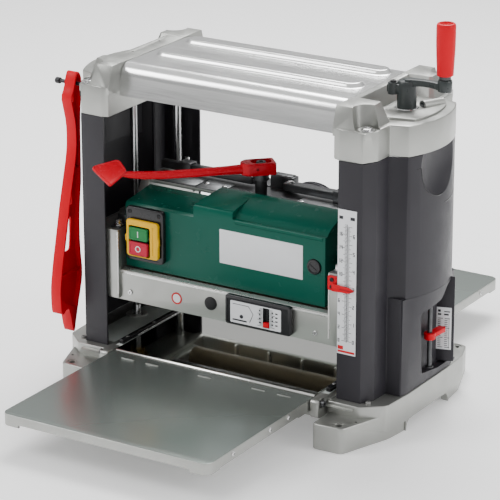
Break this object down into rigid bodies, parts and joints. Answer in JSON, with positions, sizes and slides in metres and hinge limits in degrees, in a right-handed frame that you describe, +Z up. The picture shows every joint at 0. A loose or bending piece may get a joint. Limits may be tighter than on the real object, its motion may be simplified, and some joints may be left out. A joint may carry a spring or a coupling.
{
  "type": "thickness planer",
  "caption": "Bench thickness planer: cast base, ribbed top cover on four columns, cutter carriage, crank height drive, folding infeed and outfeed tables.",
  "frame": {"origin": "on the floor under the middle of the machine", "axes": "+Z up, +Y the feed direction from infeed to outfeed, +X to the crank side"},
  "size_m": [0.6065, 0.863, 0.593],
  "materials": {
    "cast_aluminium": "satin cast",
    "table_aluminium": "satin machined",
    "sheet_steel": "bright sheet",
    "bright_steel": "ground and polished",
    "dark_steel": "black oxide",
    "black_plastic": "satin moulded",
    "green_paint": "gloss",
    "red_plastic": "semi-gloss",
    "red_paint": "gloss enamel",
    "yellow_plastic": "satin",
    "green_button": "semi-gloss",
    "rubber": "matt",
    "label_white": "printed film"
  },
  "bodies": {
    "frame": {"base_casting": "cast_aluminium", "bed_plate": "bright_steel", "left_bed_guide": "black_plastic", "right_bed_guide": "black_plastic", "infeed_hinge_pin_left": "dark_steel", "infeed_hinge_pin_right": "dark_steel", "outfeed_hinge_pin_left": "dark_steel", "outfeed_hinge_pin_right": "dark_steel", "column_front_left": "bright_steel", "column_front_right": "bright_steel", "column_rear_left": "bright_steel", "column_rear_right": "bright_steel", "left_housing": "black_plastic", "right_housing": "black_plastic", "stop_rod": "dark_steel", "left_top_casting": "cast_aluminium", "right_top_casting": "cast_aluminium", "top_cover": "sheet_steel", "height_scale": "label_white", "height_chain": "dark_steel", "push_stick_hook": "dark_steel"},
    "carriage": {"carriage_casting": "cast_aluminium", "left_lead_nut": "dark_steel", "right_lead_nut": "dark_steel", "motor_cover": "green_paint", "motor_can": "cast_aluminium", "brush_cap": "black_plastic", "drive_belt": "rubber", "feed_gearbox": "cast_aluminium", "chip_hood": "sheet_steel", "chip_outlet": "black_plastic", "switch_plate": "black_plastic", "switch_frame": "yellow_plastic", "gauge_frame": "black_plastic", "height_pointer": "red_plastic", "cable_gland": "rubber"},
    "right_screw": {"right_lead_screw": "bright_steel", "right_sprocket": "dark_steel", "crank_arm": "black_plastic", "grip_pin": "dark_steel"},
    "crank_grip": {"crank_grip": "red_plastic"},
    "left_screw": {"left_lead_screw": "bright_steel", "left_sprocket": "dark_steel"},
    "infeed_table": {"infeed_table": "table_aluminium"},
    "outfeed_table": {"outfeed_table": "table_aluminium"},
    "stop_pointer": {"stop_pointer": "red_plastic"},
    "push_stick": {"push_stick": "red_plastic"},
    "cutterhead": {"cutterhead": "dark_steel", "front_knife": "bright_steel", "rear_knife": "bright_steel"},
    "motor_rotor": {"motor_shaft": "bright_steel"},
    "infeed_roller": {"infeed_roller": "rubber"},
    "outfeed_roller": {"outfeed_roller": "rubber"},
    "lock_lever": {"lock_lever": "red_paint", "lock_shaft": "dark_steel"},
    "left_lock_rod": {"left_lock_rod": "dark_steel"},
    "right_lock_rod": {"right_lock_rod": "dark_steel"},
    "start_button": {"start_button": "green_button"},
    "stop_button": {"stop_button": "red_plastic"},
    "gauge_pointer": {"gauge_pointer": "red_plastic"}
  },
  "joints": [
    {"name": "carriage_slide", "type": "slide", "parent": "frame", "child": "carriage", "axis": [0, 0, 1], "range_m": [-0.063, 0.084]},
    {"name": "right_screw_turn", "type": "hinge", "parent": "frame", "child": "right_screw", "pos_m": [0.234, 0, 0.02], "axis": [0, 0, 1], "range_deg": [-15300, 11500]},
    {"name": "left_screw_turn", "type": "hinge", "parent": "frame", "child": "left_screw", "pos_m": [-0.234, 0, 0.02], "axis": [0, 0, 1], "range_deg": [-15300, 11500]},
    {"name": "crank_grip_spin", "type": "hinge", "parent": "right_screw", "child": "crank_grip", "pos_m": [0.292, 0.0042, 0.5172], "axis": [0, 0, 1], "continuous": true},
    {"name": "infeed_table_fold", "type": "hinge", "parent": "frame", "child": "infeed_table", "pos_m": [0, -0.156, 0.0555], "axis": [-1, 0, 0], "range_deg": [0, 90]},
    {"name": "outfeed_table_fold", "type": "hinge", "parent": "frame", "child": "outfeed_table", "pos_m": [0, 0.156, 0.0555], "axis": [1, 0, 0], "range_deg": [0, 90]},
    {"name": "depth_stop_slide", "type": "slide", "parent": "frame", "child": "stop_pointer", "axis": [0, 0, 1], "range_m": [-0.042, 0.044]},
    {"name": "push_stick_swing", "type": "hinge", "parent": "frame", "child": "push_stick", "pos_m": [-0.2705, -0.104, 0.449], "axis": [-1, 0, 0], "range_deg": [0, 70]},
    {"name": "cutterhead_spin", "type": "hinge", "parent": "carriage", "child": "cutterhead", "pos_m": [0, 0, 0.1524], "axis": [1, 0, 0], "continuous": true},
    {"name": "motor_spin", "type": "hinge", "parent": "carriage", "child": "motor_rotor", "pos_m": [0.14, -0.052, 0.232], "axis": [1, 0, 0], "continuous": true},
    {"name": "infeed_roller_spin", "type": "hinge", "parent": "carriage", "child": "infeed_roller", "pos_m": [0, -0.058, 0.145], "axis": [1, 0, 0], "continuous": true},
    {"name": "outfeed_roller_spin", "type": "hinge", "parent": "carriage", "child": "outfeed_roller", "pos_m": [0, 0.058, 0.145], "axis": [1, 0, 0], "continuous": true},
    {"name": "lock_lever_turn", "type": "hinge", "parent": "carriage", "child": "lock_lever", "pos_m": [-0.005, -0.005, 0.337], "axis": [0, 0, 1], "range_deg": [0, 60]},
    {"name": "left_lock_slide", "type": "slide", "parent": "carriage", "child": "left_lock_rod", "axis": [1, 0, 0], "range_m": [-0.0001, 0.0022]},
    {"name": "right_lock_slide", "type": "slide", "parent": "carriage", "child": "right_lock_rod", "axis": [1, 0, 0], "range_m": [-0.0022, 0.0001]},
    {"name": "start_button_press", "type": "slide", "parent": "carriage", "child": "start_button", "axis": [0, 1, 0], "range_m": [0, 0.0035], "stiffness_N_per_m": 500, "springref_m": -0.002},
    {"name": "stop_button_press", "type": "slide", "parent": "carriage", "child": "stop_button", "axis": [0, 1, 0], "range_m": [0, 0.0035], "stiffness_N_per_m": 500, "springref_m": -0.002},
    {"name": "gauge_pointer_slide", "type": "slide", "parent": "carriage", "child": "gauge_pointer", "axis": [0, 0, 1], "range_m": [0, 0.0215]}
  ],
  "couplings": [
    {"joint": "right_screw_turn", "follows": "carriage_slide", "rad_per_m": -3141.6},
    {"joint": "left_screw_turn", "follows": "carriage_slide", "rad_per_m": -3141.6},
    {"joint": "motor_spin", "follows": "cutterhead_spin", "ratio": 2},
    {"joint": "infeed_roller_spin", "follows": "cutterhead_spin", "ratio": -0.0072},
    {"joint": "outfeed_roller_spin", "follows": "cutterhead_spin", "ratio": -0.0072},
    {"joint": "left_lock_slide", "follows": "lock_lever_turn", "m_per_rad": 0.0018},
    {"joint": "right_lock_slide", "follows": "lock_lever_turn", "m_per_rad": -0.0018}
  ]
}
